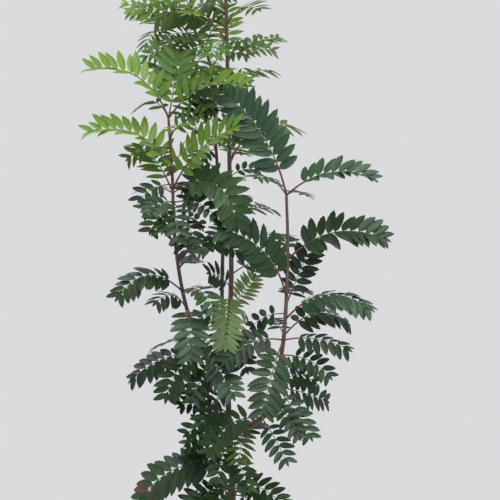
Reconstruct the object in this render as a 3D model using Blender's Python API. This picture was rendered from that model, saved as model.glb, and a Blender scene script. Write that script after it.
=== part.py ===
import math
import random

import bmesh
import bpy
import numpy as np
from mathutils import Matrix, Vector
from mathutils.bvhtree import BVHTree

# A young rowan of the yellow-berried garden form, about 1.9 m tall, with a slim upright crown.
# Sizes are in millimetres here and become metres as the meshes are made.
# Origin: centre of the flat cut under the trunk. +X is to the right of the front view, +Y to the back.

NAME = "rowan"
MM = 0.001
GAP = 0.3

# Limbs: bends of the centre line (side, back, height), then the radius at the root and at the tip.
LIMBS = {
    "trunk": (
        ((0, 0, 0), (0, 0, 16), (0, 2, 180), (-2, 0, 360), (-9, 0, 500), (-12, 0, 635), (-5, 0, 760),
         (-8, 0, 960), (-13, 0, 1200), (-19, 3, 1400), (-15, 2, 1560), (-20, -2, 1730)),
        6.6, 2.0,
    ),
    "left_bough": (
        ((-10, 0, 532), (-32, -12, 580), (-79, -34, 698), (-100, -47, 819), (-105, -55, 944),
         (-111, -56, 1036)),
        4.2, 2.3,
    ),
    "right_bough": (
        ((-7, 0, 470), (18, -10, 490), (45, -18, 509), (66, -26, 539), (87, -39, 653), (94, -45, 801),
         (92, -44, 905)),
        4.8, 2.4,
    ),
    "second_stem": (
        ((-12, 0, 640), (-22, 16, 720), (-22, 28, 838), (-34, 36, 995), (-43, 35, 1145), (-73, 31, 1216),
         (-85, 28, 1326), (-81, 26, 1384)),
        3.9, 1.9,
    ),
    "upper_shoot": (
        ((-42, 35, 1122), (-57, 22, 1138), (-82, 14, 1162), (-126, 4, 1208)),
        2.2, 1.5,
    ),
}
JOINS = {
    "left_bough": "trunk",
    "right_bough": "trunk",
    "second_stem": "trunk",
    "upper_shoot": "second_stem",
}
FLARE_HEIGHT = 50
FLARE_WIDTH = 4.5
RING_STEP = 60

# Leaf blade: shares of the leaf's length, then sizes.
PETIOLE = 0.2
BLADE_END = 0.86
LOBE_REACH = 0.255
PAIRS = (3, 4, 5, 6)
PAIR_LIMITS = (100, 150, 176)
RIB = 1.7
THICK = 0.0105
SPUR_LENGTH = 10
SPUR_RADII = (2.6, 1.9)

# Foliage: limb, height of the spur, heading of the spur round the limb (0 right, 90 back), then its
# leaves as reach to the side, reach to the back, rise, arch, facing of the blade (0 up, 90 front)
# and lift of the leaflets, in millimetres and degrees. A heading of None goes on from the limb's tip.
FOLIAGE = {
    "leaves_left_tip": ("left_bough", 1036, None, (
        (-142, -15, 77, 36, 40, 30), (136, -60, 37, 28, 45, 30), (-66, 30, 16, 24, 30, -5),
        (14, 22, 122, -2, 84, 12))),
    "leaves_left_arch": ("left_bough", 936, -110, ((-149, -25, 66, 40, 35, 20), (29, -45, 32, 12, 60, 20))),
    "leaves_left_cross": ("left_bough", 912, -60, ((121, -60, 98, 20, 50, 20), (110, -40, -76, 46, 65, 15))),
    "leaves_left_back": ("left_bough", 906, 105, (
        (-83, 95, 100, 15, 40, 10), (-70, 70, 8, 10, 20, 0), (60, 80, 10, 12, 10, 0))),
    "leaves_left_knot": ("left_bough", 893, -95, ((-27, -85, -29, 10, 60, 10), (16, -70, -75, 15, 80, 10))),
    "leaves_left_hang": ("left_bough", 855, -80, ((39, -40, -42, 16, 50, 0), (-12, -70, -25, 14, 60, -10))),
    "leaves_left_mid": ("left_bough", 778, 20, ((114, -28, 20, 30, 40, 10), (23, 80, 10, 6, 20, 10))),
    "leaves_left_elbow": ("left_bough", 736, -100, ((-106, -60, -14, 36, 35, -10), (61, -80, -35, 22, 30, 0))),
    "leaves_left_drop": ("left_bough", 702, -90, ((-49, -80, 12, 22, 45, -25), (17, -110, -78, 24, 80, 10))),
    "leaves_left_far": ("left_bough", 648, 140, ((-93, 60, -29, 10, 15, 0), (-10, 110, 20, 20, 10, 0))),
    "leaves_left_low": ("left_bough", 623, -110, (
        (-131, -20, -49, 18, 30, -10), (-59, -80, -71, 24, 60, 0), (57, -100, -62, 10, 75, 0))),
    "leaves_right_foot": ("right_bough", 514, -100, ((-95, -50, -57, 26, 60, 0), (43, -80, -61, 5, 75, 0))),
    "leaves_right_inner": ("right_bough", 489, -90, ((-8, -90, -37, 8, 20, 0),)),
    "leaves_right_low": ("right_bough", 568, 0, (
        (61, -50, -82, 4, 75, 0), (103, 60, -42, 4, 60, 0), (75, 10, 1, 20, 70, 0))),
    "leaves_right_front": ("right_bough", 653, -90, (
        (-39, -100, -115, 12, 85, 5), (-106, -60, -36, 18, 50, 0), (115, -40, -15, 12, 40, -20))),
    "leaves_right_rear": ("right_bough", 662, 75, ((127, 60, 10, 32, 30, -10), (-24, 90, 18, 10, 30, 0))),
    "leaves_right_mid": ("right_bough", 690, -40, ((147, -50, 15, 36, 30, -20),)),
    "leaves_right_inward": ("right_bough", 729, -105, ((-125, -62, 114, 30, 55, 10),)),
    "leaves_right_behind": ("right_bough", 718, 50, ((58, 40, 116, 4, 80, 10), (40, 120, 10, 20, 10, 0))),
    "leaves_right_out": ("right_bough", 796, 30, ((174, -30, 29, 32, 45, 10), (-10, 118, 40, 20, 20, 0))),
    "leaves_right_tip": ("right_bough", 905, None, (
        (153, -40, 18, 28, 35, 20), (-112, -30, 175, 20, 75, 10), (-58, -100, 17, 14, 30, 0),
        (45, 90, 4, 8, 15, 0))),
    "leaves_trunk_low": ("trunk", 520, -130, (
        (-97, 24, 40, 5, 15, 0), (-89, -50, 20, 14, 40, 0), (-36, -90, -5, 10, 50, 0))),
    "leaves_trunk_lower": ("trunk", 479, -130, ((-80, -40, -12, 12, 30, -10), (-20, -95, -58, 6, 40, 0))),
    "leaves_trunk_left": ("trunk", 418, -165, ((-86, -40, 16, 12, 50, 0), (-166, -20, -61, 36, 40, -10))),
    "leaves_trunk_foot": ("trunk", 396, -90, (
        (-82, -70, -30, 6, 50, 0), (97, -70, -25, 14, 60, 0), (-30, -90, -29, 8, 80, 0),
        (8, -120, 19, 8, 60, 0))),
    "leaves_trunk_pale": ("trunk", 745, -100, ((-7, -90, -102, 14, -80, 10), (-41, -60, 29, 8, 70, 0))),
    "leaves_trunk_rear": ("trunk", 709, 55, ((48, 60, 59, -4, 70, 10), (64, 90, -77, 6, 35, 0))),
    "leaves_trunk_side": ("trunk", 766, 40, ((94, 80, 32, 8, 30, 0),)),
    "leaves_trunk_arch": ("trunk", 968, 30, ((133, 70, 70, 36, 30, 0), (20, 130, 30, 20, 10, 0))),
    "leaves_trunk_mid": ("trunk", 875, 48, ((88, 100, 11, 10, 25, 0), (20, 125, 35, 20, 10, 0))),
    "leaves_trunk_high": ("trunk", 1116, 50, ((91, 80, 38, 10, 30, -10), (-30, 120, 40, 20, 10, 0))),
    "leaves_trunk_upper": ("trunk", 1163, 60, ((104, 60, 48, 8, 40, 0), (0, 50, 112, 6, 80, 10))),
    "leaves_trunk_front": ("trunk", 1182, -120, ((-24, -110, -64, 12, 30, -10), (-132, -40, 22, 36, 60, -45))),
    "leaves_second_low": ("second_stem", 999, -150, ((-34, -40, -31, 8, 40, 0), (-42, -30, 32, 10, 30, 0))),
    "leaves_second_mid": ("second_stem", 1066, -60, ((17, -30, 52, 4, 60, 10), (-50, -34, 14, 10, 40, 0))),
    "leaves_second_side": ("second_stem", 1074, 170, ((-138, 30, 97, 16, 20, -10), (-40, 110, 60, 20, 10, 0))),
    "leaves_second_high": ("second_stem", 1231, -90, ((51, -40, 2, 24, 30, -40), (-44, -60, 88, 10, 50, 0))),
    "leaves_second_tip": ("second_stem", 1384, None, (
        (-80, 10, 54, 20, 50, 0), (30, 84, 80, 20, 40, 0), (-14, -26, 140, 4, 80, 0))),
    "leaves_shoot_tip": ("upper_shoot", 1208, None, (
        (-76, -20, 40, 10, 50, 0), (-27, -50, -53, 12, 40, -30), (-60, 50, 39, 6, 40, 0),
        (-24, 0, 92, 8, 60, 10))),
}

# Spurs whose leaves follow the seeded rule: limb, height, heading, leaves, length, rise angle.
FANS = {
    "leaves_rear_low": ("trunk", 440, 90, 2, 118, 12),
    "leaves_rear_mid": ("trunk", 590, 112, 2, 130, 18),
    "leaves_rear_stem": ("second_stem", 905, 110, 2, 135, 24),
    "leaves_rear_high": ("second_stem", 1180, 80, 2, 130, 30),
    "leaves_foot_left": ("trunk", 318, -160, 3, 128, 4),
    "leaves_foot_right": ("trunk", 262, 40, 3, 112, 0),
    "leaves_crown_a": ("trunk", 1262, 10, 3, 158, 22),
    "leaves_crown_b": ("trunk", 1345, -82, 3, 156, 26),
    "leaves_crown_c": ("trunk", 1425, 65, 3, 150, 30),
    "leaves_crown_d": ("trunk", 1505, -30, 3, 140, 36),
    "leaves_crown_e": ("trunk", 1586, 190, 3, 126, 44),
    "leaves_crown_f": ("trunk", 1665, 60, 3, 108, 52),
    "leaves_crown_tip": ("trunk", 1730, None, 3, 112, 58),
}
FAN_SPREAD = 62
SEED = 11

COLOURS = {
    "bark": (0.16, 0.115, 0.075),
    "shoot": (0.17, 0.055, 0.035),
    "young": (0.19, 0.33, 0.05),
    "fresh": (0.09, 0.19, 0.04),
    "dark": (0.03, 0.085, 0.045),
}
YOUNG = ("left_tip", "left_arch", "left_cross", "shoot_tip", "second_high", "second_tip", "trunk_upper", "crown")
FRESH = ("left_back", "trunk_front", "trunk_mid", "trunk_high", "second", "trunk_arch", "trunk_pale")


def smooth_line(bends, step):
    """Centre line through the bends as a Catmull-Rom curve, a point about every step."""
    knots = [Vector(b) for b in bends]
    knots = [knots[0] * 2 - knots[1]] + knots + [knots[-1] * 2 - knots[-2]]
    line = [knots[1]]
    for a, b, c, d in zip(knots, knots[1:], knots[2:], knots[3:]):
        count = max(1, round((c - b).length / step))
        for i in range(1, count + 1):
            t = i / count
            line.append(0.5 * (2 * b + (c - a) * t + (2 * a - 5 * b + 4 * c - d) * t * t
                               + (3 * b - a - 3 * c + d) * t ** 3))
    return line


def limb_radius(name, share, height):
    root, tip = LIMBS[name][1:]
    radius = root + (tip - root) * share ** 0.9
    if name == "trunk" and height < FLARE_HEIGHT:
        radius += FLARE_WIDTH * (1 - height / FLARE_HEIGHT) ** 2
    return radius


def limb_frame(name, height):
    """Centre, axis and radius of a limb at a height."""
    line = smooth_line(LIMBS[name][0], 8)
    index = min(range(len(line)), key=lambda i: abs(line[i].z - height))
    axis = (line[min(index + 2, len(line) - 1)] - line[max(index - 2, 0)]).normalized()
    return line[index], axis, limb_radius(name, index / (len(line) - 1), line[index].z)


def material(name, colour, roughness):
    mat = bpy.data.materials.new(name)
    mat.use_nodes = True
    shader = mat.node_tree.nodes["Principled BSDF"]
    shader.inputs["Base Color"].default_value = (*colour, 1)
    shader.inputs["Roughness"].default_value = roughness
    shader.inputs["Metallic"].default_value = 0
    return mat


def limb_object(name, label, swell, collection):
    """A tapering limb: a curve with a round bevel, turned into a closed mesh."""
    line = smooth_line(LIMBS[name][0], RING_STEP)
    curve = bpy.data.curves.new(label, "CURVE")
    curve.dimensions = "3D"
    curve.bevel_depth = MM
    curve.bevel_resolution = 2
    curve.use_fill_caps = True
    spline = curve.splines.new("POLY")
    spline.points.add(len(line) - 1)
    for i, (point, p) in enumerate(zip(spline.points, line)):
        point.co = (*(p * MM), 1)
        point.radius = limb_radius(name, i / (len(line) - 1), p.z) + swell
    guide = bpy.data.objects.new(label + "_line", curve)
    bpy.context.scene.collection.objects.link(guide)
    bpy.context.view_layer.update()
    mesh = bpy.data.meshes.new_from_object(guide.evaluated_get(bpy.context.evaluated_depsgraph_get()))
    bm = bmesh.new()
    bm.from_mesh(mesh)
    bmesh.ops.remove_doubles(bm, verts=bm.verts, dist=1e-6)
    if name == "trunk":
        for vert in bm.verts:
            if vert.co.z < 1e-5:
                vert.co.z = 0
    bmesh.ops.recalc_face_normals(bm, faces=bm.faces)
    bm.to_mesh(mesh)
    bm.free()
    obj = bpy.data.objects.new(label, mesh)
    obj.matrix_world = guide.matrix_world
    collection.objects.link(obj)
    bpy.data.objects.remove(guide)
    return obj


def apply_boolean(obj, operation, other=None, group=None, solver="EXACT"):
    """Adds one Boolean, applies it and takes it off again."""
    mod = obj.modifiers.new("join", "BOOLEAN")
    mod.operation = operation
    mod.solver = solver
    if group:
        mod.operand_type = "COLLECTION"
        mod.collection = group
    else:
        mod.object = other
    bpy.context.view_layer.update()
    mesh = bpy.data.meshes.new_from_object(obj.evaluated_get(bpy.context.evaluated_depsgraph_get()))
    obj.modifiers.clear()
    obj.data = mesh


def keep_largest(mesh):
    """Drops scraps that a Boolean leaves, and triangulates what stays."""
    bm = bmesh.new()
    bm.from_mesh(mesh)
    bmesh.ops.remove_doubles(bm, verts=bm.verts, dist=2e-6)
    bmesh.ops.dissolve_degenerate(bm, dist=2e-6, edges=bm.edges)
    bmesh.ops.triangulate(bm, faces=bm.faces)
    left = set(bm.verts)
    bodies = []
    while left:
        body = {left.pop()}
        edge = list(body)
        while edge:
            for link in edge.pop().link_edges:
                for vert in link.verts:
                    if vert in left:
                        left.remove(vert)
                        body.add(vert)
                        edge.append(vert)
        bodies.append(body)
    bodies.sort(key=len)
    for body in bodies[:-1]:
        bmesh.ops.delete(bm, geom=list(body), context="VERTS")
    closed = all(len(e.link_faces) == 2 for e in bm.edges)
    bmesh.ops.recalc_face_normals(bm, faces=bm.faces)
    bm.to_mesh(mesh)
    bm.free()
    return closed


def rachis(start, end, arch):
    """Points, tangents and length of the leaf's midrib, which arches upward between its ends."""
    reach = end - start
    along = reach.normalized()
    up = Vector((0, 0, 1)) - along.z * along
    up = up.normalized() if up.length > 0.05 else Vector((0, -1, 0))
    points = [start + reach * t + up * (4 * t * (1 - t) * arch) for t in np.linspace(0, 1, 61)]
    steps = [0.0]
    for a, b in zip(points, points[1:]):
        steps.append(steps[-1] + (b - a).length)
    return points, [s / steps[-1] for s in steps], steps[-1]


def station(points, shares, share, look):
    """Place on the midrib at a share of its length, with tangent, side and face directions."""
    index = min(max(int(np.searchsorted(shares, share)), 1), len(points) - 1)
    low, high = shares[index - 1], shares[index]
    place = points[index - 1].lerp(points[index], (share - low) / (high - low))
    tangent = (points[min(index + 1, len(points) - 1)] - points[max(index - 2, 0)]).normalized()
    face = (look - look.dot(tangent) * tangent).normalized()
    return place, tangent, tangent.cross(face), face


def leaf_mesh(start, end, arch, facing, lift):
    """One leaf as a thin arched blade, cut to the rib between its leaflets. The rib has the full
    thickness, and each leaflet thins to its edge."""
    points, shares, length = rachis(start, end, arch)
    angle = math.radians(facing)
    look = Vector((0.12, -math.sin(angle), math.cos(angle)))
    pairs = PAIRS[sum(length > limit for limit in PAIR_LIMITS)]
    half = max(THICK * length, 1.1) / 2
    lobe = LOBE_REACH * length
    rise = math.radians(lift)
    step = (BLADE_END - PETIOLE) / pairs
    bm = bmesh.new()

    rib = []
    for share in [0, PETIOLE * 0.5] + [PETIOLE + step * i for i in range(pairs + 1)]:
        place, _, side, face = station(points, shares, share, look)
        wide = 0.9 if share < PETIOLE else RIB * (1.3 - 0.8 * share)
        rib.append([[bm.verts.new(place + side * wide * hand + face * half * level)
                     for level in (-1, 1)] for hand in (-1, 1)])
    first = rib[0]
    bm.faces.new((first[0][0], first[0][1], first[1][1], first[1][0]))
    for near, far in zip(rib, rib[1:]):
        for level in (0, 1):
            bm.faces.new((near[0][level], near[1][level], far[1][level], far[0][level]))
    for near, far in zip(rib[:2], rib[1:3]):
        for hand in (0, 1):
            bm.faces.new((near[hand][0], near[hand][1], far[hand][1], far[hand][0]))

    def flap(heel, toe, edge):
        """Closes one leaflet: a sheet above, a sheet below and a wall at each end of its root."""
        for level in (0, 1):
            bm.faces.new((heel[level], edge[0], edge[1]))
            bm.faces.new((heel[level], edge[1], toe[level]))
            bm.faces.new((toe[level], edge[1], edge[2]))
        bm.faces.new((heel[0], heel[1], edge[0]))
        bm.faces.new((toe[0], toe[1], edge[2]))

    for i in range(pairs):
        place, tangent, side, face = station(points, shares, PETIOLE + step * (i + 0.5), look)
        slant = math.radians(70 - 26 * i / pairs)
        size = lobe * (0.7 + 0.3 * math.sin(math.pi * (0.12 + 0.8 * i / pairs)))
        wide = step * length * math.sin(slant) * 0.45
        for hand in (0, 1):
            out = (side * math.cos(rise) * (2 * hand - 1) + face * math.sin(rise)).normalized()
            way = math.cos(slant) * tangent + math.sin(slant) * out
            across = math.sin(slant) * tangent - math.cos(slant) * out
            edge = [bm.verts.new(place + way * size * far + across * wide * near)
                    for far, near in ((0.5, -1), (1, 0.1), (0.6, 1))]
            flap(rib[i + 2][hand], rib[i + 3][hand], edge)
    place, _, side, _ = station(points, shares, 0.93, look)
    edge = [bm.verts.new(place + side * lobe * 0.2 * hand) for hand in (-1, 1)]
    edge.insert(1, bm.verts.new(points[-1]))
    flap(rib[-1][0], rib[-1][1], edge)

    bmesh.ops.scale(bm, vec=(MM, MM, MM), verts=bm.verts)
    bmesh.ops.triangulate(bm, faces=bm.faces)
    bmesh.ops.recalc_face_normals(bm, faces=bm.faces)
    mesh = bpy.data.meshes.new("blade")
    bm.to_mesh(mesh)
    bm.free()
    return mesh


def spur(name, height, heading):
    """Short stem that carries a spray of leaves: its foot, its direction and the limb's centre."""
    centre, axis, radius = limb_frame(name, height)
    if heading is None:
        return centre + axis * GAP, axis, centre
    angle = math.radians(heading)
    out = Vector((math.cos(angle), math.sin(angle), 0.0))
    out = (out - out.dot(axis) * axis).normalized()
    out = (out + axis * 0.25).normalized()
    return centre + out * (radius + GAP + 0.75), out, centre


def spur_mesh(foot, way):
    bm = bmesh.new()
    bmesh.ops.create_cone(bm, cap_ends=True, segments=6, radius1=SPUR_RADII[0] * MM,
                          radius2=SPUR_RADII[1] * MM, depth=SPUR_LENGTH * MM)
    turn = Vector((0, 0, 1)).rotation_difference(way).to_matrix().to_4x4()
    move = Matrix.Translation((foot + way * SPUR_LENGTH / 2) * MM)
    bmesh.ops.transform(bm, matrix=move @ turn, verts=bm.verts)
    mesh = bpy.data.meshes.new("spur")
    bm.to_mesh(mesh)
    bm.free()
    return mesh


def tree_of(mesh, grow=0.0):
    verts = [v.co + v.normal * grow for v in mesh.vertices]
    return BVHTree.FromPolygons(verts, [p.vertices[:] for p in mesh.polygons])


def fan_rows(rng, heading, count, length, rise):
    """Leaves of a seeded spur, spread evenly round its heading."""
    rows = []
    for i in range(count):
        if heading is None:
            turn = math.radians(360 / count * i + rng.uniform(-20, 20) + 40)
        else:
            turn = math.radians(heading + FAN_SPREAD * (i - (count - 1) / 2) + rng.uniform(-9, 9))
        lift = math.radians(rise + rng.uniform(-8, 10))
        size = length * rng.uniform(0.9, 1.08)
        rows.append((size * math.cos(lift) * math.cos(turn), size * math.cos(lift) * math.sin(turn),
                     size * math.sin(lift), size * rng.uniform(0.1, 0.2),
                     rng.uniform(8, 34), rng.uniform(-4, 16)))
    return rows


for old in list(bpy.data.objects):
    bpy.data.objects.remove(old)

rng = random.Random(SEED)
plant = bpy.data.collections.new(NAME)
cutters = bpy.data.collections.new("cutters")
bpy.context.scene.collection.children.link(plant)
bpy.context.scene.collection.children.link(cutters)
bark = material("bark", COLOURS["bark"], 0.8)
shoot = material("shoot", COLOURS["shoot"], 0.6)

placed = []
for name in LIMBS:
    limb = limb_object(name, name, 0, plant)
    if name in JOINS:
        cutter = limb_object(JOINS[name], name + "_cutter", GAP, cutters)
        apply_boolean(limb, "DIFFERENCE", other=cutter)
        bpy.data.objects.remove(cutter)
        keep_largest(limb.data)
    limb.data.materials.clear()
    limb.data.materials.append(shoot if name == "upper_shoot" else bark)
    limb.data.shade_smooth()
    limb.data.set_sharp_from_angle(angle=math.radians(50))
    placed.append((name, tree_of(limb.data, GAP * MM)))

sprays = [(name, *row) for name, row in FOLIAGE.items()]
for name, (limb_name, height, heading, count, length, rise) in FANS.items():
    sprays.append((name, limb_name, height, heading, fan_rows(rng, heading, count, length, rise)))

total = 0
for name, limb_name, height, heading, rows in sprays:
    foot, way, centre = spur(limb_name, height, heading)
    base = bpy.data.objects.new(name, spur_mesh(foot, way))
    plant.objects.link(base)
    blades = bpy.data.collections.new(name + "_blades")
    bpy.context.scene.collection.children.link(blades)
    start = foot + way * SPUR_LENGTH * 0.5
    skipped = []
    for i, (side, back, rise, arch, facing, lift) in enumerate(rows):
        mesh = leaf_mesh(start, centre + Vector((side, back, rise)), arch, facing, lift)
        tree = tree_of(mesh, GAP * MM)
        hit = [other for other, body in placed if tree.overlap(body)]
        if hit:
            skipped.append((i, hit))
            bpy.data.meshes.remove(mesh)
            continue
        blades.objects.link(bpy.data.objects.new(f"{name}_{i}", mesh))
    apply_boolean(base, "UNION", group=blades)
    closed = keep_largest(base.data)
    for blade in list(blades.objects):
        bpy.data.objects.remove(blade)
    bpy.data.collections.remove(blades)
    placed.append((name, tree_of(base.data)))
    tone = "young" if any(part in name for part in YOUNG) else "fresh" if any(part in name for part in FRESH) else "dark"
    leaf = material(name, COLOURS[tone], 0.55)
    base.data.materials.clear()
    base.data.materials.append(leaf)
    total += len(base.data.polygons)
    if skipped or not closed:
        print("SKIP", name, skipped, closed)

bpy.data.collections.remove(cutters)
print("triangles", total, "objects", len(plant.objects))
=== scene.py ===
import math
import random

import bpy
import numpy as np
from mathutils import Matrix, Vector, noise


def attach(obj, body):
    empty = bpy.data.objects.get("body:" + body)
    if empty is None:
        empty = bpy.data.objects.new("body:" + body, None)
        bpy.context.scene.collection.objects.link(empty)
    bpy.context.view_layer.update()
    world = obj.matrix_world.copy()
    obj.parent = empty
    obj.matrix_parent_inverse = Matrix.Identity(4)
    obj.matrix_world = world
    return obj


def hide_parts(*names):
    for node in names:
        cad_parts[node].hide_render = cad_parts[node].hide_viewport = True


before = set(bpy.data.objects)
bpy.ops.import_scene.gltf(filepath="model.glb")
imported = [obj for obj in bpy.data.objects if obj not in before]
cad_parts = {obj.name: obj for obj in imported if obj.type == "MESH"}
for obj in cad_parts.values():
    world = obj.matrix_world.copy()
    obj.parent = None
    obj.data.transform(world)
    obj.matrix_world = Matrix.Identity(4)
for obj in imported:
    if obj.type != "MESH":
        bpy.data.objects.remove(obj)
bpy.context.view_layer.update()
bpy.ops.object.select_all(action="DESELECT")

mm = 0.001  # the tables below are in millimetres


# Curve through the bends, with a point about every step
def smoothLine(bends, step):
    knots = [Vector(b) for b in bends]
    knots = [knots[0] * 2 - knots[1]] + knots + [knots[-1] * 2 - knots[-2]]
    line = [knots[1]]
    for a, b, c, d in zip(knots, knots[1:], knots[2:], knots[3:]):
        count = max(1, round((c - b).length / step))
        for i in range(1, count + 1):
            t = i / count
            line.append(0.5 * (2 * b + (c - a) * t + (2 * a - 5 * b + 4 * c - d) * t * t
                               + (3 * b - a - 3 * c + d) * t ** 3))
    return line


# Midrib of a leaf from start to end, with the share of its length at each point
def rachis(start, end, arch):
    reach = end - start
    along = reach.normalized()
    up = Vector((0, 0, 1)) - along.z * along
    up = up.normalized() if up.length > 0.05 else Vector((0, -1, 0))
    points = [start + reach * t + up * (4 * t * (1 - t) * arch) for t in np.linspace(0, 1, 61)]
    steps = [0.0]
    for a, b in zip(points, points[1:]):
        steps.append(steps[-1] + (b - a).length)
    return points, [s / steps[-1] for s in steps], steps[-1]


# Place and directions on the midrib at a share of its length
def station(points, shares, share, look):
    index = min(max(int(np.searchsorted(shares, share)), 1), len(points) - 1)
    low, high = shares[index - 1], shares[index]
    place = points[index - 1].lerp(points[index], (share - low) / (high - low))
    tangent = (points[min(index + 1, len(points) - 1)] - points[max(index - 2, 0)]).normalized()
    face = (look - look.dot(tangent) * tangent).normalized()
    return place, tangent, tangent.cross(face), face


# Vertices, faces and leaf coordinates gathered for one joined mesh
class Bin:
    def __init__(self):
        self.verts = []
        self.faces = []
        self.uvs = []
        self.nodes = set()

    def add(self, verts, faces, uvs):
        base = len(self.verts)
        self.verts += verts
        self.uvs += uvs
        self.faces += [tuple(base + i for i in face) for face in faces]


# Walls and end caps of a tube whose rings follow each other
def ringFaces(rings, sides):
    faces = []
    for k in range(rings - 1):
        for j in range(sides):
            n = (j + 1) % sides
            faces.append((k * sides + j, k * sides + n, (k + 1) * sides + n, (k + 1) * sides + j))
    faces.append(tuple(range(sides))[::-1])
    faces.append(tuple(range((rings - 1) * sides, rings * sides)))
    return faces


def ahead(points, k):
    return (points[min(k + 1, len(points) - 1)] - points[max(k - 1, 0)]).normalized()


def camel(name):
    head, *rest = name.split("_")
    return head + "".join(part.capitalize() for part in rest)


def meshObject(name, source, material):
    mesh = bpy.data.meshes.new(name)
    mesh.from_pydata(source.verts, [], source.faces)
    layer = mesh.uv_layers.new(name="leafMap")
    loops = np.zeros(len(mesh.loops), dtype=np.int32)
    mesh.loops.foreach_get("vertex_index", loops)
    layer.data.foreach_set("uv", np.array(source.uvs, dtype=np.float32)[loops].ravel())
    mesh.update()
    mesh.materials.append(material)
    mesh.shade_smooth()
    obj = bpy.data.objects.new(name, mesh)
    bpy.context.scene.collection.objects.link(obj)
    return obj


def newMaterial(name, colour, roughness):
    mat = bpy.data.materials.new(name)
    mat.use_nodes = True
    shader = mat.node_tree.nodes["Principled BSDF"]
    shader.inputs["Base Color"].default_value = (*colour, 1)
    shader.inputs["Roughness"].default_value = roughness
    return mat, mat.node_tree, shader


# A shader node with its settings and the values of its unlinked sockets
def addNode(tree, kind, sockets=None, **settings):
    node = tree.nodes.new("ShaderNode" + kind)
    for key, value in settings.items():
        setattr(node, key, value)
    for key, value in (sockets or {}).items():
        node.inputs[key].default_value = value
    return node


# Waxy leaf: patchy base colour, a pale midrib, side veins as relief, and light let through
waxy = dict(gloss=0.32, midribEdge=(0.02, 0.06), midribGain=1.4, midribLift=0.012,
            patchScale=38, patchDetail=4, shadeRange=(0.72, 1.32),
            veinScale=5.5, veinBend=1.2, veinRelief=0.25, veinDepth=0.0006, glowGain=(2.2, 2.0))


def leafMaterial(name, colour, roughness, through):
    mat, tree, shader = newMaterial(name, colour, roughness)
    shader.inputs["Specular IOR Level"].default_value = waxy["gloss"]
    link = tree.links.new
    coord = addNode(tree, "TexCoord")
    split = addNode(tree, "SeparateXYZ")
    link(coord.outputs["UV"], split.inputs[0])
    offset = addNode(tree, "Math", {1: 0.5}, operation="SUBTRACT")
    link(split.outputs["X"], offset.inputs[0])
    away = addNode(tree, "Math", operation="ABSOLUTE")
    link(offset.outputs[0], away.inputs[0])
    near, far = waxy["midribEdge"]
    midrib = addNode(tree, "MapRange", {"From Min": near, "From Max": far, "To Min": 1, "To Max": 0})
    link(away.outputs[0], midrib.inputs["Value"])
    patch = addNode(tree, "TexNoise", {"Scale": waxy["patchScale"], "Detail": waxy["patchDetail"]})
    link(coord.outputs["Object"], patch.inputs["Vector"])
    darker, lighter = [(*[c * gain for c in colour], 1) for gain in waxy["shadeRange"]]
    shade = addNode(tree, "Mix", {"A": darker, "B": lighter}, data_type="RGBA")
    link(patch.outputs["Fac"], shade.inputs["Factor"])
    paler = [min(1, c * waxy["midribGain"] + waxy["midribLift"]) for c in colour]
    ribbed = addNode(tree, "Mix", {"B": (*paler, 1)}, data_type="RGBA")
    link(midrib.outputs[0], ribbed.inputs["Factor"])
    link(shade.outputs["Result"], ribbed.inputs["A"])
    link(ribbed.outputs["Result"], shader.inputs["Base Color"])
    veins = addNode(tree, "TexWave", {"Scale": waxy["veinScale"], "Distortion": waxy["veinBend"]},
                    bands_direction="Y")
    link(coord.outputs["UV"], veins.inputs["Vector"])
    bump = addNode(tree, "Bump", {"Strength": waxy["veinRelief"], "Distance": waxy["veinDepth"]})
    link(veins.outputs["Fac"], bump.inputs["Height"])
    link(bump.outputs["Normal"], shader.inputs["Normal"])
    red, green = waxy["glowGain"]
    glowColour = (min(1, colour[0] * red), min(1, colour[1] * green), colour[2], 1)
    glow = addNode(tree, "BsdfTranslucent", {"Color": glowColour})
    blend = addNode(tree, "MixShader", {"Fac": through})
    link(shader.outputs[0], blend.inputs[1])
    link(glow.outputs[0], blend.inputs[2])
    link(blend.outputs[0], tree.nodes["Material Output"].inputs["Surface"])
    return mat


# Bark, and the skin of the stalks: two colours mixed in patches that also stand out a little
rough = dict(patchScale=90, patchDetail=6, relief=0.5, depth=0.0008)


def barkMaterial(name, low, high, roughness):
    mat, tree, shader = newMaterial(name, low, roughness)
    link = tree.links.new
    coord = addNode(tree, "TexCoord")
    patch = addNode(tree, "TexNoise", {"Scale": rough["patchScale"], "Detail": rough["patchDetail"]})
    link(coord.outputs["Object"], patch.inputs["Vector"])
    mix = addNode(tree, "Mix", {"A": (*low, 1), "B": (*high, 1)}, data_type="RGBA")
    link(patch.outputs["Fac"], mix.inputs["Factor"])
    link(mix.outputs["Result"], shader.inputs["Base Color"])
    bump = addNode(tree, "Bump", {"Strength": rough["relief"], "Distance": rough["depth"]})
    link(patch.outputs["Fac"], bump.inputs["Height"])
    link(bump.outputs["Normal"], shader.inputs["Normal"])
    return mat


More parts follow.
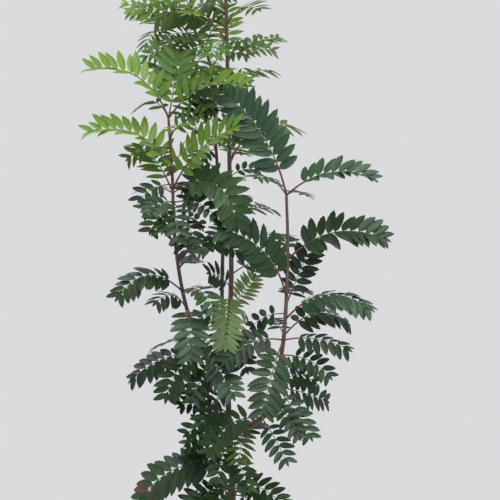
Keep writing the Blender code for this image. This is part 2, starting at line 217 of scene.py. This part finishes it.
# Limbs: bends of the centre line, radius at the root and at the tip, distance between leaf scars
limbs = {
    "trunk": dict(
        bends=((0, 0, 0), (0, 0, 16), (0, 2, 180), (-2, 0, 360), (-9, 0, 500), (-12, 0, 635), (-5, 0, 760),
               (-8, 0, 960), (-13, 0, 1200), (-19, 3, 1400), (-15, 2, 1560), (-20, -2, 1730)),
        radii=(6.6, 2.0), nodeStep=46),
    "left_bough": dict(
        bends=((-10, 0, 532), (-32, -12, 580), (-79, -34, 698), (-100, -47, 819), (-105, -55, 944),
               (-111, -56, 1036)),
        radii=(4.2, 2.3), nodeStep=38),
    "right_bough": dict(
        bends=((-7, 0, 470), (18, -10, 490), (45, -18, 509), (66, -26, 539), (87, -39, 653),
               (94, -45, 801), (92, -44, 905)),
        radii=(4.8, 2.4), nodeStep=40),
    "second_stem": dict(
        bends=((-12, 0, 640), (-22, 16, 720), (-22, 28, 838), (-34, 36, 995), (-43, 35, 1145),
               (-73, 31, 1216), (-85, 28, 1326), (-81, 26, 1384)),
        radii=(3.9, 1.9), nodeStep=42),
    "upper_shoot": dict(
        bends=((-42, 35, 1122), (-57, 22, 1138), (-82, 14, 1162), (-126, 4, 1208)),
        radii=(2.2, 1.5), nodeStep=30),
}
flare = dict(height=50, width=4.5)
limbTaper = 0.9
bark = dict(ringStep=3, trunkSides=20, limbSides=14, uprightRings=3,  # the trunk's foot is cut level
            scarSwell=0.09, scarReach=5, base=0.985,
            coarse=dict(offset=6, scale=0.09, depth=0.05), fine=dict(offset=8, scale=0.35, depth=0.025))
woods = {
    "bark": barkMaterial("greyBrownBark", (0.075, 0.038, 0.025), (0.18, 0.115, 0.075), 0.75),
    "shoot_bark": barkMaterial("redBrownBark", (0.11, 0.035, 0.025), (0.17, 0.075, 0.05), 0.5),
}


def limbRadius(name, share, height):
    root, tip = limbs[name]["radii"]
    radius = root + (tip - root) * share ** limbTaper
    if name == "trunk" and height < flare["height"]:
        radius += flare["width"] * (1 - height / flare["height"]) ** 2
    return radius


def relief(place, out, kind):
    return noise.noise((place + out * kind["offset"]) * kind["scale"]) * kind["depth"]


for name, spec in limbs.items():
    line = smoothLine(spec["bends"], bark["ringStep"])
    sides = bark["trunkSides"] if name == "trunk" else bark["limbSides"]
    skin = Bin()
    for k, p in enumerate(line):
        share = k / (len(line) - 1)
        axis = Vector((0, 0, 1)) if name == "trunk" and k < bark["uprightRings"] else ahead(line, k)
        first = axis.cross(Vector((0, 1, 0.2))).normalized()
        second = axis.cross(first)
        toScar = abs((p.z / spec["nodeStep"]) % 1 - 0.5)
        swell = 1 + bark["scarSwell"] * max(0, 1 - toScar * spec["nodeStep"] / bark["scarReach"])
        for j in range(sides):
            turn = 2 * math.pi * j / sides
            out = first * math.cos(turn) + second * math.sin(turn)
            bumps = relief(p, out, bark["coarse"]) + relief(p, out, bark["fine"])
            radius = limbRadius(name, share, p.z) * swell * (bark["base"] + bumps)
            skin.verts.append(tuple((p + out * radius) * mm))
            skin.uvs.append((j / sides, share))
    skin.faces = ringFaces(len(line), sides)
    slot = "shoot_bark" if name == "upper_shoot" else "bark"
    obj = meshObject(camel(name) + "Bark", skin, woods[slot])
    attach(obj, "root")
    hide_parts(name)
print("limbs made")

# Foliage: limb, height and heading of the spur, then its leaves as reach to the side, to the back
# and up, arch, facing, lift of the leaflets, and tone
foliage = {
    "leaves_left_tip": ("left_bough", 1036, None, (
        (-142, -15, 77, 36, 40, 30, "young"), (136, -60, 37, 28, 45, 30, "young"),
        (-66, 30, 16, 24, 30, -5, "olive"), (14, 16, 122, -2, 84, 12, "fresh"))),
    "leaves_left_arch": ("left_bough", 936, -110, (
        (-149, -25, 66, 40, 35, 20, "young"), (29, -45, 32, 12, 60, 20, "young"))),
    "leaves_left_cross": ("left_bough", 912, -60, (
        (121, -60, 98, 20, 50, 20, "young"), (110, -40, -76, 46, 65, 15, "mottled"))),
    "leaves_left_back": ("left_bough", 906, 105, (
        (-83, 95, 100, 15, 40, 10, "fresh"), (-70, 70, 8, 10, 20, 0, "olive"),
        (60, 80, 10, 12, 10, 0, "dark"))),
    "leaves_left_knot": ("left_bough", 893, -95, (
        (-27, -85, -29, 10, 60, 10, "teal"), (16, -70, -75, 15, 80, 10, "dark"))),
    "leaves_left_hang": ("left_bough", 855, -80, (
        (39, -40, -42, 16, 50, 0, "dark"), (-12, -70, -25, 14, 60, -10, "dark"))),
    "leaves_left_mid": ("left_bough", 778, 20, (
        (114, -28, 20, 30, 40, 10, "dark"), (23, 80, 10, 6, 20, 10, "dark"))),
    "leaves_left_elbow": ("left_bough", 736, -100, (
        (-106, -60, -14, 36, 35, -10, "dark"), (61, -80, -35, 22, 30, 0, "dark"))),
    "leaves_left_drop": ("left_bough", 702, -90, (
        (-49, -80, 12, 22, 45, -25, "dark"), (17, -110, -78, 24, 80, 10, "teal"))),
    "leaves_left_far": ("left_bough", 648, 140, (
        (-93, 60, -29, 10, 15, 0, "dark"), (-10, 110, 20, 20, 10, 0, "dark"))),
    "leaves_left_low": ("left_bough", 623, -110, (
        (-131, -20, -49, 18, 30, -10, "dark"), (-59, -80, -71, 24, 60, 0, "dark"),
        (57, -100, -62, 10, 75, 0, "teal"))),
    "leaves_right_foot": ("right_bough", 514, -100, (
        (-95, -50, -57, 26, 60, 0, "dark"), (43, -80, -61, 5, 75, 0, "teal"))),
    "leaves_right_inner": ("right_bough", 489, -90, ((-8, -90, -37, 8, 20, 0, "olive"),)),
    "leaves_right_low": ("right_bough", 568, 0, (
        (61, -50, -82, 4, 75, 0, "teal"), (103, 60, -42, 4, 60, 0, "dark"),
        (75, 10, 1, 20, 70, 0, "dark"))),
    "leaves_right_front": ("right_bough", 653, -90, (
        (-39, -100, -115, 12, 85, 5, "dark"), (-106, -60, -36, 18, 50, 0, "dark"),
        (115, -40, -15, 12, 40, -20, "dark"))),
    "leaves_right_rear": ("right_bough", 662, 75, (
        (127, 60, 10, 32, 30, -10, "dark"), (-24, 90, 18, 10, 30, 0, "dark"))),
    "leaves_right_mid": ("right_bough", 690, -40, ((147, -50, 15, 36, 30, -20, "teal"),)),
    "leaves_right_inward": ("right_bough", 729, -105, ((-125, -62, 114, 30, 55, 10, "dark"),)),
    "leaves_right_behind": ("right_bough", 718, 50, (
        (58, 40, 116, 4, 80, 10, "dark"), (40, 120, 10, 20, 10, 0, "dark"))),
    "leaves_right_out": ("right_bough", 796, 30, (
        (174, -30, 29, 32, 45, 10, "dark"), (-10, 118, 40, 20, 20, 0, "dark"))),
    "leaves_right_tip": ("right_bough", 905, None, (
        (153, -40, 18, 28, 35, 20, "teal"), (-112, -30, 175, 20, 75, 10, "teal"),
        (-58, -100, 17, 14, 30, 0, "dark"), (45, 90, 4, 8, 15, 0, "dark"))),
    "leaves_trunk_low": ("trunk", 520, -130, (
        (-97, 24, 40, 5, 15, 0, "dark"), (-89, -50, 20, 14, 40, 0, "dark"),
        (-36, -90, -5, 10, 50, 0, "dark"))),
    "leaves_trunk_lower": ("trunk", 479, -130, (
        (-80, -40, -12, 12, 30, -10, "dark"), (-20, -95, -58, 6, 40, 0, "dark"))),
    "leaves_trunk_left": ("trunk", 418, -165, (
        (-86, -40, 16, 12, 50, 0, "dark"), (-166, -20, -61, 36, 40, -10, "worn"))),
    "leaves_trunk_foot": ("trunk", 396, -90, (
        (-82, -70, -30, 6, 50, 0, "dark"), (97, -70, -25, 14, 60, 0, "dark"),
        (-30, -90, -29, 8, 80, 0, "dark"), (8, -120, 19, 8, 60, 0, "dark"))),
    "leaves_trunk_pale": ("trunk", 745, -100, (
        (-7, -90, -102, 14, -80, 10, "pale"), (-41, -60, 29, 8, 70, 0, "dark"))),
    "leaves_trunk_rear": ("trunk", 709, 55, (
        (48, 60, 59, -4, 70, 10, "pale"), (64, 90, -77, 6, 35, 0, "dark"))),
    "leaves_trunk_side": ("trunk", 766, 40, ((94, 80, 32, 8, 30, 0, "dark"),)),
    "leaves_trunk_arch": ("trunk", 968, 30, (
        (133, 70, 70, 36, 30, 0, "olive"), (20, 130, 30, 20, 10, 0, "fresh"))),
    "leaves_trunk_mid": ("trunk", 875, 48, (
        (88, 100, 11, 10, 25, 0, "mottled"), (20, 125, 35, 20, 10, 0, "dark"))),
    "leaves_trunk_high": ("trunk", 1116, 50, (
        (91, 80, 38, 10, 30, -10, "olive"), (-30, 120, 40, 20, 10, 0, "fresh"))),
    "leaves_trunk_upper": ("trunk", 1163, 60, (
        (104, 60, 48, 8, 40, 0, "fresh"), (0, 50, 112, 6, 80, 10, "young"))),
    "leaves_trunk_front": ("trunk", 1182, -120, (
        (-24, -110, -64, 12, 30, -10, "fresh"), (-132, -40, 22, 36, 60, -45, "olive"))),
    "leaves_second_low": ("second_stem", 999, -150, (
        (-34, -40, -31, 8, 40, 0, "dark"), (-42, -30, 32, 10, 30, 0, "dark"))),
    "leaves_second_mid": ("second_stem", 1066, -60, (
        (17, -30, 52, 4, 60, 10, "fresh"), (-50, -34, 14, 10, 40, 0, "olive"))),
    "leaves_second_side": ("second_stem", 1074, 170, (
        (-138, 30, 97, 16, 20, -10, "olive"), (-40, 110, 60, 20, 10, 0, "fresh"))),
    "leaves_second_high": ("second_stem", 1231, -90, (
        (51, -40, 2, 24, 30, -40, "olive"), (-44, -60, 88, 10, 50, 0, "young"))),
    "leaves_second_tip": ("second_stem", 1384, None, (
        (-80, 10, 54, 20, 50, 0, "young"), (30, 84, 80, 20, 40, 0, "young"),
        (-14, -26, 140, 4, 80, 0, "young"))),
    "leaves_shoot_tip": ("upper_shoot", 1208, None, (
        (-76, -20, 40, 10, 50, 0, "young"), (-27, -50, -53, 12, 40, -30, "olive"),
        (-60, 50, 39, 6, 40, 0, "young"), (-24, 0, 92, 8, 60, 10, "young"))),
}

# Small leaves between the big ones, as limb, height, heading, reach, rise, facing and tone
fillers = (
    ("left_bough", 1000, -60, 70, 10, 40, "young"), ("left_bough", 960, 140, 84, 24, 40, "fresh"),
    ("left_bough", 880, -150, 62, -10, 50, "dark"), ("left_bough", 870, 20, 58, -16, 40, "dark"),
    ("second_stem", 1100, -100, 62, 20, 60, "fresh"), ("second_stem", 1120, 150, 90, 30, 60, "olive"),
    ("second_stem", 1150, -40, 70, 22, 50, "fresh"), ("second_stem", 1200, -120, 84, -24, 60, "olive"),
    ("second_stem", 1250, -20, 86, 26, 50, "young"), ("second_stem", 1270, 170, 92, 16, 50, "young"),
    ("second_stem", 1040, 40, 64, 16, 40, "dark"), ("second_stem", 1010, -30, 58, -8, 50, "dark"),
    ("trunk", 1210, 150, 96, 30, 60, "fresh"), ("trunk", 1240, -150, 92, 12, 60, "olive"),
    ("trunk", 1080, 160, 74, 12, 50, "dark"), ("trunk", 1040, 30, 62, 12, 40, "dark"),
    ("trunk", 940, 10, 56, 10, 40, "dark"), ("trunk", 820, 170, 66, -14, 50, "dark"),
    ("trunk", 800, -20, 70, -24, 60, "dark"), ("trunk", 690, 170, 70, -22, 60, "dark"),
    ("trunk", 640, -60, 84, -44, 70, "dark"), ("trunk", 600, -140, 90, -38, 60, "dark"),
    ("trunk", 560, -110, 92, -52, 70, "teal"), ("trunk", 500, -160, 88, -18, 50, "dark"),
    ("trunk", 455, -170, 84, -26, 50, "dark"), ("trunk", 440, -70, 84, -42, 60, "dark"),
    ("trunk", 380, -150, 104, -20, 50, "dark"), ("trunk", 372, -40, 96, -22, 60, "dark"),
    ("right_bough", 600, 40, 84, -30, 50, "dark"), ("right_bough", 630, -30, 92, -38, 60, "dark"),
    ("right_bough", 700, 170, 66, -30, 50, "dark"), ("right_bough", 540, -50, 84, -46, 60, "dark"),
    ("left_bough", 660, -60, 84, -46, 60, "dark"), ("left_bough", 600, -120, 90, -44, 60, "dark"),
    ("second_stem", 1225, -165, 128, 22, 55, "fresh"), ("second_stem", 1215, -95, 112, -12, 62, "young"),
    ("second_stem", 1190, 175, 118, -26, 55, "fresh"), ("second_stem", 1168, -130, 110, -34, 60, "olive"),
    ("second_stem", 1160, -15, 84, -8, 60, "fresh"), ("second_stem", 1130, -170, 112, -10, 62, "fresh"),
    ("second_stem", 1110, -60, 96, -22, 62, "fresh"), ("second_stem", 1095, -20, 82, 20, 65, "young"),
    ("trunk", 1170, 170, 104, -18, 58, "fresh"), ("trunk", 1130, -100, 96, -30, 62, "fresh"),
    ("trunk", 1150, 10, 92, 14, 55, "olive"), ("trunk", 1215, -60, 116, -14, 60, "olive"),
    ("trunk", 1235, 160, 118, 8, 55, "young"), ("left_bough", 985, 175, 78, -24, 55, "olive"),
    ("left_bough", 925, -150, 62, -34, 60, "dark"), ("left_bough", 880, -130, 66, -50, 60, "dark"),
    ("left_bough", 840, -60, 70, -56, 65, "dark"), ("left_bough", 890, -40, 92, -30, 60, "dark"),
    ("trunk", 940, -140, 84, -26, 60, "dark"), ("trunk", 905, -165, 92, -14, 55, "dark"),
    ("second_stem", 940, -150, 82, -30, 60, "dark"), ("trunk", 850, -120, 76, -40, 65, "dark"),
    ("trunk", 1010, -100, 80, -24, 60, "fresh"), ("second_stem", 1075, -130, 86, -30, 62, "fresh"),
    ("second_stem", 1060, -100, 92, -8, 64, "fresh"), ("trunk", 1085, -130, 92, -18, 60, "dark"),
    ("second_stem", 1040, -110, 80, 30, 66, "olive"), ("left_bough", 1010, -20, 70, 30, 60, "fresh"),
    ("trunk", 1060, -150, 84, -30, 60, "dark"), ("second_stem", 1250, -140, 120, -6, 58, "fresh"),
    ("upper_shoot", 1170, 170, 60, 24, 40, "fresh"), ("upper_shoot", 1190, -60, 62, -20, 50, "olive"),
)

# Spurs whose leaves follow the seeded rule: limb, height, heading, leaves, length, rise angle, tone
fans = {
    "leaves_rear_low": ("trunk", 440, 90, 2, 118, 12, "dark"),
    "leaves_rear_mid": ("trunk", 590, 112, 2, 130, 18, "dark"),
    "leaves_rear_stem": ("second_stem", 905, 110, 2, 135, 24, "dark"),
    "leaves_rear_high": ("second_stem", 1180, 80, 2, 130, 30, "fresh"),
    "leaves_foot_left": ("trunk", 318, -160, 3, 128, 4, "dark"),
    "leaves_foot_right": ("trunk", 262, 40, 3, 112, 0, "dark"),
    "leaves_crown_a": ("trunk", 1262, 10, 3, 158, 22, "fresh"),
    "leaves_crown_b": ("trunk", 1345, -82, 3, 156, 26, "fresh"),
    "leaves_crown_c": ("trunk", 1425, 65, 3, 150, 30, "young"),
    "leaves_crown_d": ("trunk", 1505, -30, 3, 140, 36, "young"),
    "leaves_crown_e": ("trunk", 1586, 190, 3, 126, 44, "young"),
    "leaves_crown_f": ("trunk", 1665, 60, 3, 108, 52, "young"),
    "leaves_crown_tip": ("trunk", 1730, None, 3, 112, 58, "young"),
}
fan = dict(seed=11, spread=62, swing=9, tipTurn=40, tipSwing=20, riseSwing=(-8, 10),  # degrees
           size=(0.9, 1.08), arch=(0.1, 0.2), facing=(8, 34), lift=(-4, 16))
filler = dict(swing=12, arch=0.14, lift=(-8, 12))
growSeed = 5

# Tones of the foliage, dealt out by leaf: base colour, roughness, share of light let through
tones = {
    # young: green of young leaves, made brighter and yellower at the top of the tree as painted light let
    # through from above
    "young": ((0.14, 0.26, 0.04), 0.42, 0.3),
    "fresh": ((0.075, 0.165, 0.032), 0.42, 0.24),
    "olive": ((0.06, 0.115, 0.022), 0.5, 0.2),
    "dark": ((0.018, 0.05, 0.015), 0.38, 0.12),
    # teal: dark teal leaf green, made lighter and bluer as painted sheen on upper sides that face the
    # light
    "teal": ((0.028, 0.071, 0.032), 0.36, 0.1),
    "deep": ((0.011, 0.034, 0.011), 0.42, 0.08),
    "mid": ((0.032, 0.08, 0.022), 0.4, 0.14),
    # spring_backlit: a second young green, also brightened as painted light let through from above
    "spring_backlit": ((0.11, 0.225, 0.032), 0.4, 0.3),
    "pale": ((0.15, 0.235, 0.095), 0.6, 0.2),
    "mottled": ((0.032, 0.08, 0.026), 0.4, 0.12),
    "worn": ((0.032, 0.07, 0.03), 0.5, 0.1),
    "brown": ((0.13, 0.07, 0.035), 0.7, 0.1),
}
darkMix = ("dark", "dark", "dark", "deep", "mid")
# share of the young leaves given the second painted backlit green
springBacklitShare = 0.25
strays = {"worn": (0.07, "brown"), "mottled": (0.3, "mid")}  # share of leaflets in another tone
slenderTones = ("young", "fresh", "olive", "pale")

leaf = dict(
    petiole=0.2, bladeEnd=0.93,  # the leaflets stand between these shares of the length
    pairStep=12.5, palePairStep=8.5, pairLimits=(4, 12), firstStep=0.4,
    lobeReach=0.235, lobeExtra=3, lobeLeast=(29, 0.44), slenderGain=1.08, uprightGain=1.55,
    profile=(0.74, 0.26), profileFrom=0.1, profileSpan=0.78, tipLoss=0.3,  # size from root to tip
    slant=(72, 26), swing=6, liftSwing=9, shareSwing=0.006, sizeSwing=(0.93, 1.04),
    taper=(0.78, 0.62), width=(0.3, 0.41), overlap=1.25, bend=(0.02, 0.16), clear=0.4,
    endSize=0.35, endWidth=0.34, endBend=0.02, sideways=0.12)
blade = dict(rows=(7, 11), rowStep=2.8, fold=(0.16, 0.34), widest=0.78, toothOut=1.05, toothIn=0.97,
             toothLean=0.06)
stalk = dict(thick=0.5, gain=0.0052, redEnd=17, ribEnd=59, skip=3, redSides=7, ribSides=5,
             redThick=(1.25, 0.3), ribThick=(0.82, 0.5))


# One toothed oblong leaflet: a midrib with two folded halves, its tip bent down a little
def leaflet(target, root, way, across, face, length, width, bend, taper, rng):
    least, most = blade["rows"]
    rows = max(least, min(most, round(length / blade["rowStep"])))
    fold = rng.uniform(*blade["fold"])
    verts, uvs = [], []
    for i in range(rows + 1):
        t = i / rows
        body = (math.sin(math.pi * t ** blade["widest"]) ** taper if 0 < t < 1 else 0) * width / 2
        tooth = body * (blade["toothOut"] if i % 2 else blade["toothIn"])
        mid = root + way * length * t - face * (bend * length * t * t)
        drop = face * (tooth * fold)
        lean = way * (blade["toothLean"] * width if i % 2 else 0)
        verts += [tuple((mid - across * tooth + drop + lean) * mm), tuple(mid * mm),
                  tuple((mid + across * tooth + drop + lean) * mm)]
        uvs += [(0, t), (0.5, t), (1, t)]
    faces = []
    for i in range(rows):
        a = 3 * i
        faces += [(a, a + 1, a + 4, a + 3), (a + 1, a + 2, a + 5, a + 4)]
    target.add(verts, faces, uvs)


# A thin round stalk through the points
def tube(target, points, radii, sides):
    verts, uvs = [], []
    for k, (p, r) in enumerate(zip(points, radii)):
        axis = ahead(points, k)
        first = axis.cross(Vector((0.2, 0.9, 0.35))).normalized()
        second = axis.cross(first)
        for j in range(sides):
            turn = 2 * math.pi * j / sides
            verts.append(tuple((p + first * math.cos(turn) * r + second * math.sin(turn) * r) * mm))
            uvs.append((j / sides, k / len(points)))
    target.add(verts, ringFaces(len(points), sides), uvs)


# A whole pinnate leaf: stalk, midrib and pairs of leaflets with one at the end
def makeLeaf(node, start, end, arch, facing, lift, tone, rng):
    points, shares, length = rachis(start, end, arch)
    angle = math.radians(facing)
    look = Vector((leaf["sideways"], -math.sin(angle), math.cos(angle)))
    gap = leaf["palePairStep"] if tone == "pale" else leaf["pairStep"]
    fewest, most = leaf["pairLimits"]
    pairs = max(fewest, min(most, round(length * (leaf["bladeEnd"] - leaf["petiole"]) / gap)))
    least, leastShare = leaf["lobeLeast"]
    lobe = max(leaf["lobeReach"] * length + leaf["lobeExtra"], min(least, leastShare * length))
    slender = tone in slenderTones
    taper = leaf["taper"][0 if slender else 1]
    if tone == "dark":
        tone = rng.choice(darkMix)
    elif tone == "young" and rng.random() < springBacklitShare:
        tone = "spring_backlit"
    if slender:
        upright = (node, tone) == ("leaves_left_tip", "fresh")  # one leaf with long leaflets
        lobe *= leaf["uprightGain"] if upright else leaf["slenderGain"]
    step = (leaf["bladeEnd"] - leaf["petiole"]) / pairs
    for i in range(pairs):
        share = leaf["petiole"] + step * (i + leaf["firstStep"])
        slant = math.radians(leaf["slant"][0] - leaf["slant"][1] * i / pairs)
        swell = math.sin(math.pi * (leaf["profileFrom"] + leaf["profileSpan"] * i / pairs))
        profile = leaf["profile"][0] + leaf["profile"][1] * swell
        size = lobe * profile * (1 - leaf["tipLoss"] * (i / pairs) ** 3)
        for hand in (-1, 1):
            shift = rng.uniform(-leaf["shareSwing"], leaf["shareSwing"])
            place, tangent, side, face = station(points, shares, share + shift, look)
            rise = math.radians(lift + rng.uniform(-leaf["liftSwing"], leaf["liftSwing"]))
            turn = slant + math.radians(rng.uniform(-leaf["swing"], leaf["swing"]))
            out = side * math.cos(rise) * hand + face * math.sin(rise)
            up = face * math.cos(rise) - side * math.sin(rise) * hand
            way = math.cos(turn) * tangent + math.sin(turn) * out
            across = (math.cos(turn) * out - math.sin(turn) * tangent) * hand
            long = size * rng.uniform(*leaf["sizeSwing"])
            narrow, broad = leaf["width"]
            wide = long * narrow if slender else min(step * length * leaf["overlap"], long * broad)
            kind = tone
            if tone in strays and rng.random() < strays[tone][0]:
                kind = strays[tone][1]
            bend = rng.uniform(*leaf["bend"])
            leaflet(bins[kind], place + up * leaf["clear"], way, across, up, long, wide, bend, taper, rng)
            bins[kind].nodes.add(node)
    place, tangent, side, face = station(points, shares, leaf["bladeEnd"], look)
    onward = (points[-1] - place).normalized()
    long = (points[-1] - place).length + lobe * leaf["endSize"]
    leaflet(bins[tone], points[-1] - onward * long, onward, side, face, long, long * leaf["endWidth"],
            leaf["endBend"], taper, rng)
    thick = stalk["thick"] + stalk["gain"] * length
    redPart = points[:stalk["redEnd"]:stalk["skip"]] + [points[stalk["redEnd"]]]
    ribPart = points[stalk["redEnd"]:stalk["ribEnd"]:stalk["skip"]]
    full, loss = stalk["redThick"]
    redRadii = [thick * (full - loss * k / (len(redPart) - 1)) for k in range(len(redPart))]
    full, loss = stalk["ribThick"]
    ribRadii = [thick * (full - loss * k / len(ribPart)) for k in range(len(ribPart))]
    tube(bins["stalk"], redPart, redRadii, stalk["redSides"])
    tube(bins["rib"], ribPart, ribRadii, stalk["ribSides"])
    for key in (tone, "stalk", "rib"):
        bins[key].nodes.add(node)


# Where a spur's leaves start, just inside its limb, and the centre of the limb there
spur = dict(lineStep=8, lean=0.25, depth=0.6)
centreLines = {name: smoothLine(spec["bends"], spur["lineStep"]) for name, spec in limbs.items()}


def spurAt(name, height, heading):
    line = centreLines[name]
    index = min(range(len(line)), key=lambda i: abs(line[i].z - height))
    centre = line[index]
    if heading is None:
        return centre, centre
    axis = (line[min(index + 2, len(line) - 1)] - line[max(index - 2, 0)]).normalized()
    radius = limbRadius(name, index / (len(line) - 1), centre.z)
    angle = math.radians(heading)
    out = Vector((math.cos(angle), math.sin(angle), 0.0))
    out = (out - out.dot(axis) * axis).normalized()
    out = (out + axis * spur["lean"]).normalized()
    return centre + out * radius * spur["depth"], centre


# Leaves of a seeded spur, in the same form as a row of the foliage table without its tone
def fanRows(rng, heading, count, length, rise):
    rows = []
    for i in range(count):
        if heading is None:
            swing = rng.uniform(-fan["tipSwing"], fan["tipSwing"])
            turn = math.radians(360 / count * i + swing + fan["tipTurn"])
        else:
            swing = rng.uniform(-fan["swing"], fan["swing"])
            turn = math.radians(heading + fan["spread"] * (i - (count - 1) / 2) + swing)
        lift = math.radians(rise + rng.uniform(*fan["riseSwing"]))
        size = length * rng.uniform(*fan["size"])
        rows.append((size * math.cos(lift) * math.cos(turn), size * math.cos(lift) * math.sin(turn),
                     size * math.sin(lift), size * rng.uniform(*fan["arch"]),
                     rng.uniform(*fan["facing"]), rng.uniform(*fan["lift"])))
    return rows


fanRng = random.Random(fan["seed"])
spurs = dict(foliage)
for node, (limb, height, heading, count, length, rise, tone) in fans.items():
    rows = fanRows(fanRng, heading, count, length, rise)
    spurs[node] = (limb, height, heading, [(*row, tone) for row in rows])

bins = {key: Bin() for key in list(tones) + ["stalk", "rib"]}
leafRng = random.Random(growSeed)
for node, (limb, height, heading, rows) in spurs.items():
    foot, centre = spurAt(limb, height, heading)
    for *reach, arch, facing, lift, tone in rows:
        makeLeaf(node, foot, centre + Vector(reach), arch, facing, lift, tone, leafRng)
for limb, height, heading, reach, rise, facing, tone in fillers:
    foot, centre = spurAt(limb, height, heading)
    turn = math.radians(heading + leafRng.uniform(-filler["swing"], filler["swing"]))
    end = centre + Vector((math.cos(turn) * reach, math.sin(turn) * reach, rise))
    lift = leafRng.uniform(*filler["lift"])
    makeLeaf(None, foot, end, reach * filler["arch"], facing, lift, tone, leafRng)
print("leaves grown")

skins = {
    "stalk": ("redStalk", (0.1, 0.022, 0.018), (0.19, 0.06, 0.035), 0.4),
    "rib": ("greenRib", (0.1, 0.12, 0.035), (0.17, 0.19, 0.07), 0.45),
}
for key, source in bins.items():
    mat = barkMaterial(*skins[key]) if key in skins else leafMaterial(key + "Leaf", *tones[key])
    obj = meshObject("foliage" + key.capitalize(), source, mat)
    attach(obj, "root")
    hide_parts(*sorted(source.nodes - {None}))
    print(key, len(source.faces), "faces")

# Floor, light and camera
studio = dict(
    floorSize=1.8, floorColour=(0.62, 0.63, 0.65), roomColour=(0.69, 0.705, 0.72, 1),
    lamps=(dict(at=(0.7, -0.9, 2.8), size=1.4, power=46), dict(at=(-1.3, 0.9, 2.6), size=1.6, power=18)),
    lampAim=(0, 0, 0.9))
shot = dict(place=(0.0288, -1.2, 0.81), sensor=36, width=0.9)  # width of the picture at the trunk

bpy.ops.mesh.primitive_plane_add(size=studio["floorSize"], location=(0, 0, 0))
floor = bpy.context.object
floor.name = "floor"
floor.data.materials.append(newMaterial("paleFloor", studio["floorColour"], 0.9)[0])

world = bpy.data.worlds.new("paleRoom")
bpy.context.scene.world = world
world.use_nodes = True
room = world.node_tree.nodes["Background"]
room.inputs["Color"].default_value = studio["roomColour"]
room.inputs["Strength"].default_value = 1.0

for spot in studio["lamps"]:
    bpy.ops.object.light_add(type="AREA", location=spot["at"])
    lamp = bpy.context.object
    lamp.data.size = spot["size"]
    lamp.data.energy = spot["power"]
    lamp.rotation_euler = (Vector(studio["lampAim"]) - lamp.location).to_track_quat("-Z", "Y").to_euler()

bpy.ops.object.camera_add(location=shot["place"], rotation=(math.radians(90), 0, 0))
camera = bpy.context.object
camera.data.sensor_width = shot["sensor"]
camera.data.lens = shot["sensor"] / (shot["width"] / abs(shot["place"][1]))
bpy.context.scene.camera = camera
bpy.context.scene.view_settings.view_transform = "Standard"
print("studio set")
